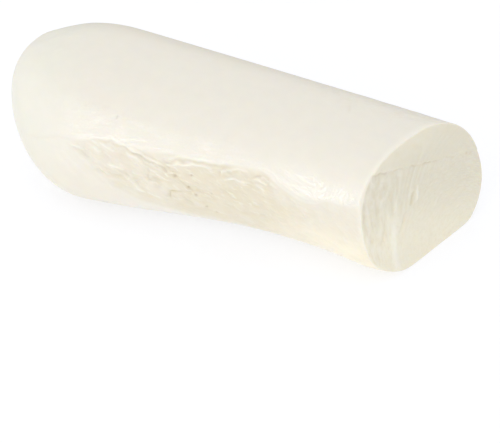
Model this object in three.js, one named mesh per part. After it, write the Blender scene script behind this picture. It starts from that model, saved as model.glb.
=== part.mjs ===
// Mozzarella loaf: one solid of stretched-curd cheese with a rounded end and a cut end.
// Units are millimetres and degrees, and +Z is up. +X runs along the loaf from the rounded end to the cut,
// the pressed side faces -Y, and the loaf lies on its flat base at z = 0, centred over the origin.
//
// A place on the skin is given by its station, the distance along the axis from the rounded end,
// and its angle round the section: 0 is the front, 90 the top, 180 the back and -90 the base.
import * as THREE from 'three';

const { clamp, degToRad, smoothstep } = THREE.MathUtils;

// Body: the section is a squashed round that narrows to a waist and bows a little in plan
const LENGTH = 192.05;
const HALF_WIDTH = 39.1;
const HALF_HEIGHT = 34.9;
const WIDTH_TAPER = -4.7;
const HEIGHT_TAPER = -2.2;
const WIDTH_FLARE = -1.5;
const HEIGHT_FLARE = 1.3;
const FLARE_MIDDLE = 0.4;
const BOW = 2.2;
const BOW_MIDDLE = 0.5;
const ROUNDNESS = 2.1;

// Rounded end: its length, the fullness of its curve, and how far its tip stands above the axis
const NOSE_LENGTH = 44.8;
const NOSE_FULLNESS = 1.9;
const NOSE_RISE = 11.3;

// Base: how far the soft loaf settles on to the table, and half the height over which its edge rolls up
const BASE_SETTLE = 4.3;
const BASE_ROLL = 2.0;

// Front side: a long hollow low on the side, between fuller ends, and a toe that swells out by the cut
const SIDE_ANGLE = -35;
const SIDE_SPREAD = 40;
const SIDE_FULLNESS = -2.8;
const HOLLOW_DEPTH = 6.8;
const HOLLOW_STATION = 121;
const HOLLOW_SPREAD = 51;
const TOE_FULLNESS = 2.8;
const TOE_MIDDLE = 186;
const TOE_LENGTH = 16;

// Cut: the plane's turn in plan and its lean, and how the section changes on the way to it
const CUT_SKEW = 24.8;
const CUT_LEAN = -14.4;
const CUT_CHANGE_START = 0.45;
const CUT_ROUNDNESS = 2.4;
const CUT_SHEAR = -3.0;
const CUT_RIM = 0.8;

// Pressed patch on the front side, between an upper and a lower edge that run along the loaf
const PATCH_UPPER_STATIONS = [36, 46, 55, 78, 92, 107, 124, 132, 142, 157, 163, 168, 179, LENGTH];
const PATCH_UPPER_ANGLES = [22, 26.5, 30, 30.5, 33.3, 33.7, 37.5, 37, 28.8, 21, 21.5, 25.5, 25.5, 26.5];
const PATCH_LOWER_STATIONS = [36, 47, 56, 63, 71, 90, LENGTH];
const PATCH_LOWER_ANGLES = [20, 13, 1, -8, -16, -27, -30];
const PATCH_DEPTH = 0.7;
const PATCH_EDGE = 5;
const PATCH_FADE = [140, 175];
const PATCH_REST = 0.5;
const LIP_HEIGHT = 0.15;
const LIP_WIDTH = 5;
const DENT_DEPTH = 0.4;
const DENT_LENGTH = 19;
const DENT_HEIGHT = 13;
const DENT_SLANT = 0.6;

// Folds in the skin, as the stations and angles that each one runs through
const FOLDS = [
  { stations: [66, 78, 83, 87, 92], angles: [29, 28, 23, 18.5, 12], depth: 0.6, width: 2.2, fade: 6 },
  { stations: [78, 90, 102, 114], angles: [27, 29.5, 31, 29], depth: 0.4, width: 2.0, fade: 8 },
  { stations: [12, 20, 29, 43], angles: [-7, 8, 19, 27], depth: 0.2, width: 1.8, fade: 5 },
];

// Cut face: a knife step across it, and curd fibres that bend round a point low on its far side
const STEP_HEIGHT = 0.45;
const STEP_WIDTH = 2.4;
const STEP_AT_AXIS = 47.3;
const STEP_SLOPE = -0.444;
const FIBRE_CENTRE_Y = 20;
const FIBRE_CENTRE_Z = 1;
const FIBRE_FAN_START = 43;
const FIBRE_FAN = 0.75;
const FIBRE_PITCHES = [7.3, 4.9];
const FIBRE_HEIGHT = 0.22;
const FIBRE_REACH = [14, 42];

// Fineness of the faceted solid, with the facets closest together on the front
const NOSE_RINGS = 13;
const BODY_RINGS = 42;
const SEGMENTS = 72;
const CROWDING = 0.45;
const CROWDED_ANGLE = 5;
const FACE_RINGS = 13;

// Reach of the small steps that measure the skin's slope
const SLOPE_STATION = 0.5;
const SLOPE_ANGLE = 0.5;

function signedPower(value, power) {
  return Math.sign(value) * Math.abs(value) ** power;
}

function bump(offset, spread) {
  return Math.exp(-((offset / spread) ** 2));
}

// A smooth line along the loaf: gives its angle at any station
function lineAlong(stations, angles) {
  const line = new THREE.CubicInterpolant(stations, angles, 1);
  return (station) => line.evaluate(station)[0];
}

const patchUpperAngle = lineAlong(PATCH_UPPER_STATIONS, PATCH_UPPER_ANGLES);
const patchLowerAngle = lineAlong(PATCH_LOWER_STATIONS, PATCH_LOWER_ANGLES);
const folds = FOLDS.map((fold) => ({ ...fold, angleAt: lineAlong(fold.stations, fold.angles) }));

function wrapAngle(angle) {
  return THREE.MathUtils.euclideanModulo(angle + 180, 360) - 180;
}

// The table flattens the base: heights below it become zero, with a rolled edge
function settle(height) {
  if (height <= -BASE_ROLL) {
    return 0;
  }
  return height < BASE_ROLL ? (height + BASE_ROLL) ** 2 / (4 * BASE_ROLL) : height;
}

// Outline of the section at a station, as y and z for one angle
function sectionPoint(station, angle) {
  const along = (2 * station) / LENGTH - 1;
  const nearTip = Math.max(0, 1 - station / NOSE_LENGTH);
  const swell = (1 - nearTip ** NOSE_FULLNESS) ** (1 / NOSE_FULLNESS);
  const flare = along * along - FLARE_MIDDLE;
  const halfWidth = HALF_WIDTH + WIDTH_TAPER * along + WIDTH_FLARE * flare;
  const halfHeight = HALF_HEIGHT + HEIGHT_TAPER * along + HEIGHT_FLARE * flare;
  const change = clamp((station / LENGTH - CUT_CHANGE_START) / (1 - CUT_CHANGE_START), 0, 1) ** 2;
  const turn = degToRad(angle);
  const upperRoundness = ROUNDNESS + (CUT_ROUNDNESS - ROUNDNESS) * change;
  const power = 2 / (Math.sin(turn) > 0 ? upperRoundness : ROUNDNESS);

  const centre = halfHeight - BASE_SETTLE + NOSE_RISE * nearTip ** 2;
  const z = centre + halfHeight * swell * signedPower(Math.sin(turn), power);
  const bow = BOW * (BOW_MIDDLE - along * along);
  const shear = (CUT_SHEAR * change * (z - halfHeight)) / halfHeight;
  const low = bump(wrapAngle(angle - SIDE_ANGLE), SIDE_SPREAD) * swell;
  const hollow = HOLLOW_DEPTH * bump(station - HOLLOW_STATION, HOLLOW_SPREAD) + SIDE_FULLNESS;
  const toe = TOE_FULLNESS * bump(station - TOE_MIDDLE, TOE_LENGTH);
  const y = bow - halfWidth * swell * signedPower(Math.cos(turn), power) + shear + (hollow - toe) * low;
  return [y, settle(z)];
}

// Distance of the cut plane from the middle of the cut, along the axis
function cutReach(y, z) {
  return y * Math.tan(degToRad(CUT_SKEW)) + (z - HALF_HEIGHT) * Math.tan(degToRad(CUT_LEAN));
}

// The skin before its relief: sections slide along the axis until the last one lies on the cut plane
function skinPoint(station, angle) {
  const [y, z] = sectionPoint(station, angle);
  const [cutY, cutZ] = sectionPoint(LENGTH, angle);
  const slide = clamp((station - NOSE_LENGTH) / (LENGTH - NOSE_LENGTH), 0, 1) ** 3;
  return new THREE.Vector3(station + slide * cutReach(cutY, cutZ), y, z);
}

function skinNormal(station, angle) {
  const after = Math.min(station + SLOPE_STATION, LENGTH);
  const before = Math.max(station - SLOPE_STATION, 0);
  const forward = skinPoint(after, angle).sub(skinPoint(before, angle));
  const round = skinPoint(station, angle + SLOPE_ANGLE).sub(skinPoint(station, angle - SLOPE_ANGLE));
  return forward.cross(round).normalize();
}

// Arc length on the skin for an angle, near enough for relief
function arc(angle) {
  return degToRad(angle) * HALF_WIDTH;
}

// Pressed patch: a shallow drop below a lip, with slanted dents in it
function patchRelief(station, angle) {
  const belowUpper = arc(patchUpperAngle(station) - angle);
  const aboveLower = arc(angle - patchLowerAngle(station));
  const inStation = smoothstep(station, PATCH_UPPER_STATIONS[0], PATCH_UPPER_STATIONS[1]);
  const strength = inStation * (1 - (1 - PATCH_REST) * smoothstep(station, ...PATCH_FADE));
  const inside = smoothstep(belowUpper, 0, PATCH_EDGE) * smoothstep(aboveLower, 0, PATCH_EDGE);
  const across = station - DENT_SLANT * arc(angle);
  const upward = arc(angle) + DENT_SLANT * station;
  const dents = Math.sin((2 * Math.PI * across) / DENT_LENGTH) * Math.sin((2 * Math.PI * upward) / DENT_HEIGHT);
  const lip = LIP_HEIGHT * bump(belowUpper + LIP_WIDTH / 2, LIP_WIDTH / 2);
  return strength * (lip - inside * (PATCH_DEPTH + DENT_DEPTH * dents));
}

function foldRelief(fold, station, angle) {
  const first = fold.stations[0];
  const last = fold.stations[fold.stations.length - 1];
  const reach = smoothstep(station, first, first + fold.fade) * (1 - smoothstep(station, last - fold.fade, last));
  return -fold.depth * reach * bump(arc(angle - fold.angleAt(station)), fold.width);
}

function skinRelief(station, angle) {
  const foldDepths = folds.map((fold) => foldRelief(fold, station, angle));
  return foldDepths.reduce((total, depth) => total + depth, patchRelief(station, angle));
}

// The finished skin: relief fades out towards the base, which stays flat
function reliefPoint(station, angle) {
  const point = skinPoint(station, angle);
  const clearOfBase = smoothstep(point.z, BASE_ROLL, 4 * BASE_ROLL);
  const height = clearOfBase * skinRelief(station, wrapAngle(angle));
  return height === 0 ? point : point.addScaledVector(skinNormal(station, angle), height);
}

// Relief of the cut face: the part above the knife step stands proud, and below it run the fibres
function faceRelief(y, z) {
  const aboveStep = z - (STEP_AT_AXIS + STEP_SLOPE * y);
  const proud = smoothstep(aboveStep, -STEP_WIDTH / 2, STEP_WIDTH / 2);
  const sideways = FIBRE_CENTRE_Y - y;
  const radius = Math.hypot(sideways, z - FIBRE_CENTRE_Z);
  const turn = Math.atan2(z - FIBRE_CENTRE_Z, sideways);
  const fibre = radius - FIBRE_FAN * turn * Math.max(0, radius - FIBRE_FAN_START);
  const waves = FIBRE_PITCHES.map((pitch) => Math.sin((2 * Math.PI * fibre) / pitch));
  const depth = smoothstep(radius, ...FIBRE_REACH) * (1 - proud);
  return STEP_HEIGHT * proud + FIBRE_HEIGHT * depth * waves.reduce((sum, wave) => sum + wave, 0);
}

function facePoint(y, z, depth) {
  const normal = new THREE.Vector3(1, -Math.tan(degToRad(CUT_SKEW)), -Math.tan(degToRad(CUT_LEAN))).normalize();
  const point = new THREE.Vector3(LENGTH + cutReach(y, z), y, z).addScaledVector(normal, depth);
  point.z = Math.max(0, point.z);
  return point;
}

// Stations of the rings, close together at the rounded tip
function ringStations() {
  const stations = [];
  for (let ring = 1; ring <= NOSE_RINGS; ring += 1) {
    stations.push(NOSE_LENGTH * (1 - Math.cos((Math.PI / 2) * (ring / NOSE_RINGS))));
  }
  for (let ring = 1; ring <= BODY_RINGS; ring += 1) {
    stations.push(NOSE_LENGTH + ((LENGTH - CUT_RIM - NOSE_LENGTH) * ring) / BODY_RINGS);
  }
  return stations;
}

function ringAngles() {
  const angles = [];
  for (let segment = 0; segment < SEGMENTS; segment += 1) {
    const even = (360 * segment) / SEGMENTS - 180;
    const crowded = (CROWDING * 180) / Math.PI * Math.sin(degToRad(even));
    angles.push(even - crowded + CROWDED_ANGLE);
  }
  return angles;
}

// Rings of the cut face, from the rim inwards
function faceRings(angles) {
  const outline = angles.map((angle) => sectionPoint(LENGTH, angle));
  const rings = [];
  for (let ring = 0; ring < FACE_RINGS; ring += 1) {
    const share = 1 - ring / FACE_RINGS;
    rings.push(outline.map(([y, z]) => {
      const inset = ring === 0 ? 1 - CUT_RIM / Math.hypot(y, z - HALF_HEIGHT) : share;
      const faceY = y * inset;
      const faceZ = HALF_HEIGHT + (z - HALF_HEIGHT) * inset;
      return facePoint(faceY, faceZ, faceRelief(faceY, faceZ));
    }));
  }
  return rings;
}

// One closed surface: the tip, the rings of the skin, the rings of the face and the face's middle
function loafGeometry() {
  const angles = ringAngles();
  const skinRings = ringStations().map((station) => angles.map((angle) => reliefPoint(station, angle)));
  const rings = [...skinRings, ...faceRings(angles)];
  const tip = skinPoint(0, 0);
  const middle = facePoint(0, HALF_HEIGHT, faceRelief(0, HALF_HEIGHT));
  const points = [tip, ...rings.flat(), middle];

  const triangles = [];
  const corner = (ring, segment) => 1 + ring * SEGMENTS + (segment % SEGMENTS);
  for (let segment = 0; segment < SEGMENTS; segment += 1) {
    triangles.push(0, corner(0, segment), corner(0, segment + 1));
    for (let ring = 0; ring < rings.length - 1; ring += 1) {
      const near = corner(ring, segment);
      const nearNext = corner(ring, segment + 1);
      const far = corner(ring + 1, segment);
      const farNext = corner(ring + 1, segment + 1);
      triangles.push(near, far, farNext, near, farNext, nearNext);
    }
    triangles.push(corner(rings.length - 1, segment), points.length - 1, corner(rings.length - 1, segment + 1));
  }

  const geometry = new THREE.BufferGeometry().setFromPoints(points);
  geometry.setIndex(triangles);
  geometry.computeBoundingBox();
  const centre = geometry.boundingBox.getCenter(new THREE.Vector3());
  geometry.translate(-centre.x, -centre.y, 0);
  geometry.computeVertexNormals();
  return geometry;
}

const cheese = new THREE.MeshStandardMaterial({ color: '#f0ecdf', roughness: 0.45, metalness: 0 });
const loaf = new THREE.Mesh(loafGeometry(), cheese);
loaf.name = 'loaf';

const mozzarellaLoaf = new THREE.Group();
mozzarellaLoaf.add(loaf);

export default mozzarellaLoaf;
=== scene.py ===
"""Mozzarella loaf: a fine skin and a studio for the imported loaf, laid out as a Blender add-on.

A place on the skin is given by its station, the distance along the axis from the rounded end, and its
angle round the section: 0 is the front, 90 the top, 180 the back and -90 the base. A place on the cut
face is given by y and z. Lists of places are in millimetres and degrees, other lengths in metres.
"""
import math

import bpy
import numpy as np
from bpy.props import FloatProperty, FloatVectorProperty, PointerProperty
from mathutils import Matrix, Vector, noise


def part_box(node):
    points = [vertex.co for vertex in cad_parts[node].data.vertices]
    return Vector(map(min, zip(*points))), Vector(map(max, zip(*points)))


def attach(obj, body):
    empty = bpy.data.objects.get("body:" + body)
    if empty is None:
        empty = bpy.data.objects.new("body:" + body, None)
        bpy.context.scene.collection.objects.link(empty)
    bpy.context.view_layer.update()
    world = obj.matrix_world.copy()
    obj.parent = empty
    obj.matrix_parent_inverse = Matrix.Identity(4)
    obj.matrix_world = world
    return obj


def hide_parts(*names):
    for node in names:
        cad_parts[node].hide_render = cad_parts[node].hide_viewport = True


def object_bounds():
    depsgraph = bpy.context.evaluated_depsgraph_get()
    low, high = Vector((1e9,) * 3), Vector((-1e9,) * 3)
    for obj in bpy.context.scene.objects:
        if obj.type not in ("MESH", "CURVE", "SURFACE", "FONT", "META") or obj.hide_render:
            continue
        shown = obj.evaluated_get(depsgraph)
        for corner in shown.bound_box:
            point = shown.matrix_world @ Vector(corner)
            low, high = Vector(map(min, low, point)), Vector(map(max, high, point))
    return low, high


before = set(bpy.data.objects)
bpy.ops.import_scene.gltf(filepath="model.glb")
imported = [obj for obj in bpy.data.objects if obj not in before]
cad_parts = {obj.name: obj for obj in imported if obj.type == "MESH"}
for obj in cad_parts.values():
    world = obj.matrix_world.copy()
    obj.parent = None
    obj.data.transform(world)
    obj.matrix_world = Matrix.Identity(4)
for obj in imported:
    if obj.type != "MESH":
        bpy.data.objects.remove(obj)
CAD_LOW, CAD_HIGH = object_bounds()

bl_info = {
    "name": "Mozzarella Loaf",
    "version": (1, 0, 0),
    "blender": (4, 5, 0),
    "location": "View3D > Sidebar > Mozzarella",
    "description": "Makes a cut mozzarella loaf with its wrinkled skin, fibrous cut face and studio",
    "category": "Object",
}

MM = 0.001
NODE = "loaf"
BODY = "root"
TOP_ANGLE = 90
# Least length that a normal is divided by
LEAST_LENGTH = 1e-12

# Noise of the relief: its octaves, how they fade, the step between them, and a shift to another pattern
OCTAVES = 2
FINE_OCTAVES = 3
FRACTAL_FADE = 1.0
FRACTAL_STEP = 2.0
OTHER_PATTERN = 9
# Middle height of thin raised lines
RIDGE_MIDDLE = 0.5

# Section and plan of the loaf
WIDTH_TAPER = -4.7 * MM
HEIGHT_TAPER = -2.2 * MM
WIDTH_FLARE = -1.5 * MM
HEIGHT_FLARE = 1.3 * MM
FLARE_MIDDLE = 0.4
BOW = 2.2 * MM
BOW_MIDDLE = 0.5
ROUNDNESS = 2.1
NOSE_FULLNESS = 1.9
BASE_ROLL = 2.0 * MM
BASE_CLEAR = (4 * MM, 20 * MM)
SIDE_ANGLE = -35
SIDE_SPREAD = 40
SIDE_FULLNESS = -2.8 * MM
HOLLOW_STATION = 121 * MM
HOLLOW_SPREAD = 51 * MM
TOE_FULLNESS = 2.8 * MM
TOE_MIDDLE = 186 * MM
TOE_LENGTH = 16 * MM
CUT_CHANGE_START = 0.45
CUT_ROUNDNESS = 2.4
CUT_SHEAR = -3.0 * MM
SLIDE_POWER = 3

# Pressed patch on the front side, between an upper and a lower edge that run along the loaf
PATCH_UPPER = (
    (36, 22), (46, 26.5), (55, 30), (78, 30.5), (92, 33.3), (107, 33.7), (124, 37.5), (132, 37), (142, 28.8),
    (157, 21), (163, 21.5), (168, 25.5), (179, 25.5), (191, 26.5),
)
PATCH_LOWER = ((36, 20), (47, 13), (56, 1), (63, -8), (71, -16), (90, -27), (191, -30))
PATCH_EDGE = 5 * MM
PRESSED_EDGE = 1.4 * MM
PRESSED_PALENESS = 0.35
PRESSED_DEPTH = 13 * MM
PATCH_FADE = (140 * MM, 175 * MM)
PATCH_REST = 0.5
LIP_HEIGHT = 0.15 * MM
LIP_WIDTH = 5 * MM
DENT_DEPTH = 0.4 * MM
DENT_LENGTH = 19 * MM
DENT_HEIGHT = 13 * MM
DENT_SLANT = 0.6

# Creases in the skin, darkened by painted shade: the places each runs through, its depth and its half width
CREASES = (
    (((49, 29), (60, 30), (68, 27.5), (79, 22.5), (86, 19.5), (92, 14)), 0.35, 0.5),
    (((85, 25), (91, 28.5), (102, 31.5), (115, 32)), 0.3, 0.45),
    (((66, 25), (75, 20.5), (83, 16), (88, 12)), 0.25, 0.4),
    (((72, 29.5), (80, 26.5), (86, 23), (90, 19)), 0.25, 0.4),
    (((79, 16), (79.5, 5.5)), 0.4, 0.45),
    (((96, 2.5), (89, 1.5), (89.5, -7)), 0.5, 0.45),
    (((89, 17), (92, 14.5), (97, 8.5), (102, 2)), 0.4, 0.6),
    (((42, 18), (47, 13), (56, 1), (63, -8), (71, -16)), 0.1, 0.7),
    (((112.1, 21.5), (112.1, 28), (113.8, 32.5), (116.2, 34)), 0.25, 0.45),
    (((127.2, 27), (129.3, 31), (132.5, 33), (135.4, 32), (137.4, 28.5)), 0.25, 0.5),
    (((18, 5), (26.6, 15), (34, 22), (39.3, 24.5), (48.1, 28)), 0.12, 0.7),
    (((155, 105.5), (158.3, 98)), 0.3, 0.5),
)
# Ridges in the skin, listed as the creases are, with a painted highlight on each
RIDGES = (
    (((60, 32.5), (68, 29.8), (79, 25), (87, 21.5)), 0.35, 0.8),
    (((84, 28), (91, 30.8), (102, 33.5), (114, 34.5)), 0.3, 0.8),
    (((86, 23), (92, 26), (102, 28.8), (108, 29)), 0.5, 0.8),
    (((42, 22.5), (49, 18.5)), 0.35, 0.7),
    (((50, 25), (56.5, 21)), 0.4, 0.7),
    (((52, 28), (56, 24.5)), 0.4, 0.7),
    (((56, 28), (63, 25)), 0.5, 0.8),
    (((68, 25), (75.5, 20.5)), 0.5, 0.8),
    (((60, 14.5), (67, 10.5)), 0.4, 0.8),
    (((70, 5), (77.5, -5)), 0.5, 0.8),
    (((78, -4), (84, -8.5)), 0.4, 0.7),
    (((112, 25), (115, 30.5), (120, 33), (126, 33)), 0.4, 0.8),
    (((114, 22), (119, 24.5), (127, 24)), 0.45, 0.8),
    (((114, 35), (124, 36), (132, 35)), 0.25, 1.6),
    (((129.5, 29.5), (136, 26)), 0.55, 1.0),
    (((137, 27.5), (141, 24.5)), 0.4, 0.8),
    (((130, 24), (135, 20.5)), 0.4, 0.7),
    (((38, 16), (44, 9), (52, -1)), 0.15, 0.8),
    (((13, 91), (16, 92.5), (20.4, 95), (25.9, 97.5), (31.7, 100.5)), 0.15, 0.5),
    (((24, 103), (26, 104.5), (28, 109), (31.7, 109.5)), 0.15, 0.5),
    (((22.5, 82), (25.2, 84)), 0.2, 0.4),
    (((26.2, 82.2), (29.5, 80.5)), 0.15, 0.4),
    (((34, 14), (40, 7), (47, -3)), 0.12, 0.8),
)
# Fold high on the back of the rounded end: the places of its line, and the drop behind it at each station
FOLD_LINE = (
    (12, 90), (15.4, 93), (17.9, 97), (21.1, 99.5), (25.2, 101.5), (31.7, 102), (37.8, 103.5), (44, 108),
    (60, 112),
)
FOLD_DROP = ((8, 0), (13, 0.7), (18, 0.7), (25, 0.25), (34, 0.1), (50, 0))
FOLD_WIDTH = 2.8 * MM
FOLD_END = (145, 185)
# Pits in the skin: station, angle and radius
PITS = (
    (91, 15.5, 0.8), (97.5, 8, 0.6), (101, 2.5, 0.7), (98.5, 19, 0.4), (105.5, -8, 0.6), (109.5, -15.5, 0.7),
    (108.5, 7, 0.35), (134.5, 15.5, 0.3), (60.7, 47.5, 0.45), (120, -14, 0.35),
)
PIT_DEPTH = 0.35 * MM
STEEPNESS_ABOVE = 0.6
# Depth of full painted shade in creases, height of full painted highlight on ridges, and the pits' colour
CREASE_SHADE_DEPTH = 1.4 * MM
RIDGE_HIGHLIGHT_HEIGHT = 0.6 * MM
PIT_TINT = 0.42

# Scallops and wrinkles of the pressed patch: length and height of one, and their slant
SCALLOP_SIZE = (7.5 * MM, 3.8 * MM)
SCALLOP_BORDER = 0.8
WRINKLE_SIZE = (7 * MM, 1.9 * MM)
WRINKLE_SLANT = math.radians(23)
WAVER_SIZE = 5 * MM
WAVER = 1.0 * MM
BLOTCH_SIZE = 15 * MM
BLOTCH_RANGE = (-0.5, 0.4)
BLOTCH_REST = 0.4
# Painted shade in the middle of each scallop dent
DENT_SHADE = 0.15
RIPPLE_SIZE = 12 * MM
RIPPLE_DEPTH = 0.04 * MM
# Wrinkles low on the back, and on its shoulder near the cut
BACK_ANGLE = 195
BACK_SPREAD = 26
BACK_STRENGTH = 0.6
BACK_START = (15 * MM, 60 * MM)
SHOULDER_ANGLE = 124
SHOULDER_SPREAD = 19
SHOULDER_STRENGTH = 0.4
# Painted shade in the troughs of the shoulder's wrinkles
SHOULDER_SHADE = 0.14
SHOULDER_START = (100 * MM, 170 * MM)
# Where the streaks of the film turn round the section
STREAK_TURN = (158 * MM, 168 * MM)
STREAK_SLANT = 0.4

# Moist film on the shoulder, from the upper edge of the patch to its own ragged top
FILM_TOP = (
    (36, 53), (57, 51), (76, 47), (99, 48.5), (121, 47), (134, 42), (148, 46), (168, 41.5), (191, 39),
)
FILM_START = (30 * MM, 48 * MM)
FILM_EDGE = 0.6 * MM
FILM_FADE = 3 * MM
FILM_RAG = 2.5 * MM
FILM_RAG_SIZE = (5 * MM, 2.5 * MM)
FILM_WRINKLES = 0.12
# How wet the film is along the loaf: station and share
FILM_WETNESS = (
    (30, 0.8), (70, 0.82), (95, 0.7), (130, 0.74), (148, 0.85), (165, 1.0), (178, 0.95), (191, 0.65),
)

# How strongly the pressed colour shows along the loaf: station and share
PRESSED_TINT = (
    (38, 0.3), (60, 0.5), (85, 0.65), (100, 1.0), (125, 1.0), (150, 0.75), (170, 0.5), (191, 0.4),
)
STAIN = 0.3
STAIN_SIZE = 7 * MM
# The patch's dashes and their painted glints thin out towards the foot of the patch and towards the rounded
# end
FLECK_ANGLE = (-25, 20)
FLECK_STATION = (55 * MM, 95 * MM)
FLECK_REST = 0.5
NOSE_TINT = (15 * MM, 50 * MM)
TIP_FADE = (2 * MM, 30 * MM)
UNDER_TINT = 0.35
UNDER_FROM_TOP = (70, 105)
UNDER_END = (45 * MM, 90 * MM)
# Painted shade on the back, where the light falls away
BACK_SHADE = 0.2
BACK_SHADE_ANGLE = 165
BACK_SHADE_SPREAD = (25, 70)
BACK_SHADE_END = (60 * MM, 190 * MM)
# Painted bounce light low on the front by the cut
TOE_STATION = (118 * MM, 176 * MM)
TOE_ANGLE = (14, -18)
TOE_FADE = (-90, -65)
# Painted highlight along the upper edge of the skin by the cut
EDGE_HIGHLIGHT = 0.6
EDGE_WIDTH = 4 * MM
EDGE_FROM_TOP = (80, 110)

# Cut face: a knife step across it, and curd fibres that bend round a point low on its far side
STEP_WIDTH = 1.0 * MM
STEP_AT_AXIS = 47.3 * MM
STEP_SLOPE = -0.444
STEP_WAVER = 0.9 * MM
STEP_WAVER_SIZE = 3 * MM
CRACK_WIDTH = 0.55 * MM
CRACK_SIZE = 2.2 * MM
CRACK_LAYER = 5.3
CRACK_RANGE = (-0.1, 0.4)
# Painted shade in the knife crack
CRACK_SHADE = 0.45
FIBRE_CENTRE = (20 * MM, 1 * MM)
FIBRE_FAN_START = 43 * MM
FIBRE_FAN = 0.75
FIBRE_REACH = (30 * MM, 58 * MM)
FIBRE_FAR = 0.4
FIBRE_BREAK = 2.0
STRAND_SIZE = (1.5 * MM, 14 * MM)
# Painted shade in the low strands
STRAND_SHADE = 0.12
TEAR_SIZE = (1.3 * MM, 9 * MM)
TEAR_SHARE = 0.9
TEAR_LAYER = 3.7
CURD_SIZE = 2.2 * MM
CURD_DEPTH = 0.12 * MM
PROUD_SMOOTHNESS = 0.7
# Gouges and flakes of the cut: the places of y and z each runs through, its height and its half width
GOUGES = (
    (((-8.8, 30.2), (-7.5, 32.5), (-5.6, 36)), 0.7, 0.8),
    (((-19.6, 56.2), (-21.5, 53.6), (-23, 50)), 0.4, 1.0),
    (((-24.5, 48), (-25.2, 45.2), (-26.4, 37.7), (-27.4, 31)), 0.28, 0.7),
    (((-31, 50.5), (-32.8, 45.5), (-33.8, 39.5), (-33.8, 33)), 0.26, 1.3),
    (((-11.8, 29.2), (-14.7, 25), (-17.6, 20.8)), 0.25, 0.6),
)
FLAKES = (
    (((-5.4, 30), (-4.2, 34), (-3, 37.8)), 0.5, 0.6),
    (((-18.3, 32), (-19.6, 27), (-21.8, 20), (-22.9, 9), (-23.2, -4)), 0.5, 1.7),
    (((-14.2, 40.2), (-16.5, 35.5), (-18.4, 32.6)), 0.3, 0.5),
    (((2.8, 21.2), (5.8, 25)), 0.3, 0.5),
    (((-30.2, 47), (-31, 41), (-31.2, 35)), 0.25, 0.5),
)
# Depth at which a gouge has its full painted shade, and height at which a flake has its full painted
# highlight
GOUGE_SHADE_DEPTH = 1.6 * MM
FLAKE_HIGHLIGHT_HEIGHT = 0.7 * MM
# Painted light at the foot of the cut, strongest low on its near side, as light from below
FOOT_HEIGHT = (4 * MM, 40 * MM)
FOOT_SLANT = 0.5
BORDER_PALENESS = 0.45
BORDER_WIDTH = 14 * MM
BORDER_SIDE = (-5 * MM, 30 * MM)

# Rim of the cut, rounder where the lower part of the front edge is torn
TORN_ANGLE = 34
TORN_SPREAD = 15
RIM_RINGS = 5
RIM_CLEARANCE = 2.5 * MM

# Fineness of the mesh
NOSE_RINGS = 60
BODY_RINGS = 250
SEGMENTS = 264
CROWDING = 0.72
CROWDED_ANGLE = 8
FIRST_ANGLE = -117
FACE_RINGS = 56
# Fields of the mesh that the finish reads
FIELDS = ("pressed", "nose", "toe", "cavity", "pit", "film", "fleck", "thread", "cut", "foot", "flake")

# Noise of the finish, along each axis: per mm for dashes, threads and streaks, and per metre for the rest
DASH_SCALE = (0.2, 0.55, 1.0)
THREAD_SCALE = (0.75, 0.16, 1.0)
STREAK_SCALE = (0.8, 0.1, 1.0)
MOTTLE_SCALE = (160, 160, 160)
SPECKLE_SCALE = (240, 240, 240)
GRAIN_SCALE = (800, 800, 800)
PORE_SCALE = (900, 900, 900)
PLAIN_DETAIL = 2.0
THREAD_DETAIL = 3.0
MOTTLE_DETAIL = 4.0
NOISE_RANGE = (0.3, 0.7)

# Between which values of the noise each effect comes in, and its strength
# Painted glints on the patch's dashes, painted highlights on the cut's threads, painted shade in the gaps
# between them
DASH_GLINT_RANGE = (0.57, 0.65)
DASH_GLINT = 0.55
THREAD_HIGHLIGHT_RANGE = (0.48, 0.66)
THREAD_HIGHLIGHT = 0.34
GAP_SHADE_RANGE = (0.34, 0.46)
GAP_SHADE = 0.22
STREAK_RANGE = (0.45, 0.53)
GRAIN_RANGE = (0.46, 0.56)
GRAIN_WETNESS = (0.8, 0.95)
MOTTLE_SHADE = (0.99, 1.01)
SPECKLE_ROUGHNESS = (-0.01, 0.02)
CUT_DRYNESS = 0.16
FILM_SMOOTHNESS = 0.05
LEAST_WETNESS = 0.02

# Finest relief, in mm
PORE_HEIGHT = 0.012
STREAK_HEIGHT = 0.04
STREAK_REACH = (0.25, 0.75)
DASH_HEIGHT = 0.06
THREAD_HEIGHT = 0.06

# Light inside the cheese and on its film
SCATTER_WEIGHT = 0.6
SCATTER_TINT = (1.0, 0.8, 0.5)
SPECULAR = 0.08
FILM_ROUGHNESS = 0.18

# Studio: a floor, the place and the size of each soft light, and a dome that is dimmer low behind the loaf
WHITE = (1, 1, 1, 1)
FLOOR_SIZE = 20.0
FLOOR_COLOUR = (0.5, 0.507, 0.535, 1)
FLOOR_ROUGHNESS = 0.9
FLOOR_SPECULAR = 0.1
FLOOR_GLOW = 0.5
SOFTBOXES = {
    "front": ((-0.135, -0.98, 0.286), (0.75, 0.65)),
    "left": ((-0.40, -0.57, 0.82), (0.35, 0.35)),
    "top": ((0.0, -0.1, 1.3), (1.2, 1.0)),
    "sheen": ((-0.75, -0.75, 0.56), (2.8, 1.5)),
}
GLOSS_LIGHT = "sheen"
DIM_BEHIND = (0.6, 0.9)
DIM_LOW = (-0.05, 0.15)
DIM_SHARE = 0.75
SENSOR_WIDTH = 36


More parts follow.
